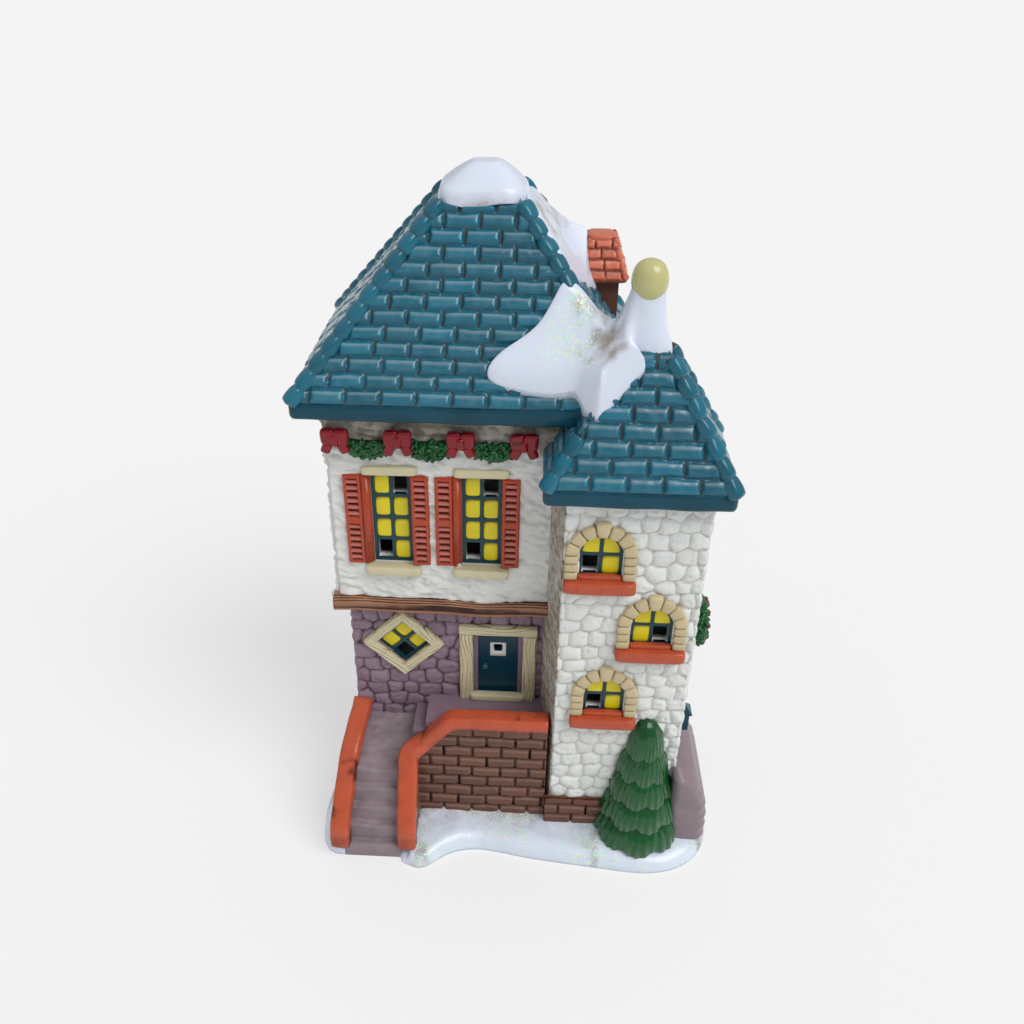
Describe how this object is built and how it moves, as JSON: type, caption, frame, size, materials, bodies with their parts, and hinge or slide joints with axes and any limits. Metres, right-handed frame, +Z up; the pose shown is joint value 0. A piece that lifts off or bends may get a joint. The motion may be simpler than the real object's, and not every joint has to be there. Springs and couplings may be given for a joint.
{
  "type": "ceramic christmas village house",
  "caption": "Lit ceramic village house with a stair tower, snowy tiled roofs, stairs, fir tree and a pull-out lamp in the back wall.",
  "frame": {"origin": "middle of the base's underside", "axes": "+Z up, the front door faces -Y, the tower stands at +X"},
  "size_m": [0.1209, 0.0943, 0.193],
  "materials": {
    "snow": "white glaze with fine iridescent glitter",
    "purple_stone": "satin purple-grey glaze over stone relief",
    "plaster": "satin off-white glaze over rough plaster",
    "white_stone": "satin off-white glaze over stone relief",
    "brown_brick": "satin brown glaze over brick relief",
    "terracotta": "glossy orange-red glaze",
    "teal_tile": "glossy teal glaze over tile relief",
    "brown_timber": "satin brown glaze over wood grain",
    "cream_trim": "satin cream glaze",
    "teal_bar": "satin dark teal glaze",
    "yellow_pane": "glossy yellow glaze",
    "dark_teal": "glossy dark teal glaze",
    "gold_dot": "painted gold",
    "fir_green": "glossy green glaze",
    "bow_red": "satin crimson glaze",
    "white_plastic": "moulded",
    "spring_steel": "bare",
    "brass": "bare",
    "clear_glass": "clear",
    "tungsten": "bare"
  },
  "bodies": {
    "house": {"snow_base": "snow", "peak_snow": "snow", "valley_snow": "snow", "slope_snow": "snow", "lower_walls": "purple_stone", "stair_flight": "purple_stone", "door_landing": "purple_stone", "door_jamb": "purple_stone", "side_steps": "purple_stone", "left_parapet": "purple_stone", "upper_walls": "plaster", "tower_walls": "white_stone", "front_brick_wall": "brown_brick", "stair_brick_wall": "brown_brick", "tower_plinth": "brown_brick", "chimney_stack": "brown_brick", "right_coping": "terracotta", "left_coping": "terracotta", "tower_sills": "terracotta", "chimney_hood": "terracotta", "shutters_left": "terracotta", "shutters_right": "terracotta", "shutters_side": "terracotta", "main_roof": "teal_tile", "tower_roof": "teal_tile", "jetty_beam": "brown_timber", "window_lintels": "cream_trim", "window_sills": "cream_trim", "diamond_frame": "cream_trim", "door_surround": "cream_trim", "door_step": "cream_trim", "arch_stones_high": "cream_trim", "arch_stones_middle": "cream_trim", "arch_stones_low": "cream_trim", "tower_finial": "cream_trim", "upper_lattice_left": "teal_bar", "upper_lattice_right": "teal_bar", "upper_lattice_side": "teal_bar", "diamond_lattice": "teal_bar", "tower_lattices": "teal_bar", "upper_window_panes": "yellow_pane", "diamond_panes": "yellow_pane", "tower_window_panes": "yellow_pane", "door_leaf": "dark_teal", "side_lantern": "dark_teal", "door_knob": "gold_dot", "fir_tree": "fir_green", "garland_swags": "fir_green", "side_wreath": "fir_green", "garland_bows": "bow_red"},
    "lamp": {"lamp_holder": "white_plastic", "lamp_shell": "brass", "lamp_contact": "brass", "lamp_clips": "spring_steel"},
    "bulb_feed": {"bulb_tip": "brass"},
    "bulb": {"bulb_base": "brass", "bulb_glass": "clear_glass", "bulb_filament": "tungsten"}
  },
  "joints": [
    {"name": "lamp_slide", "type": "slide", "parent": "house", "child": "lamp", "axis": [0, 1, 0], "range_m": [0, 0.045]},
    {"name": "bulb_feed", "type": "slide", "parent": "lamp", "child": "bulb_feed", "axis": [0, -1, 0], "range_m": [0, 0.0073]},
    {"name": "bulb_turn", "type": "hinge", "parent": "bulb_feed", "child": "bulb", "pos_m": [-0.0154, 0.0369, 0.032], "axis": [0, -1, 0], "range_deg": [0, 1440]}
  ],
  "couplings": [
    {"joint": "bulb_feed", "follows": "bulb_turn", "m_per_rad": 0.0002881}
  ]
}
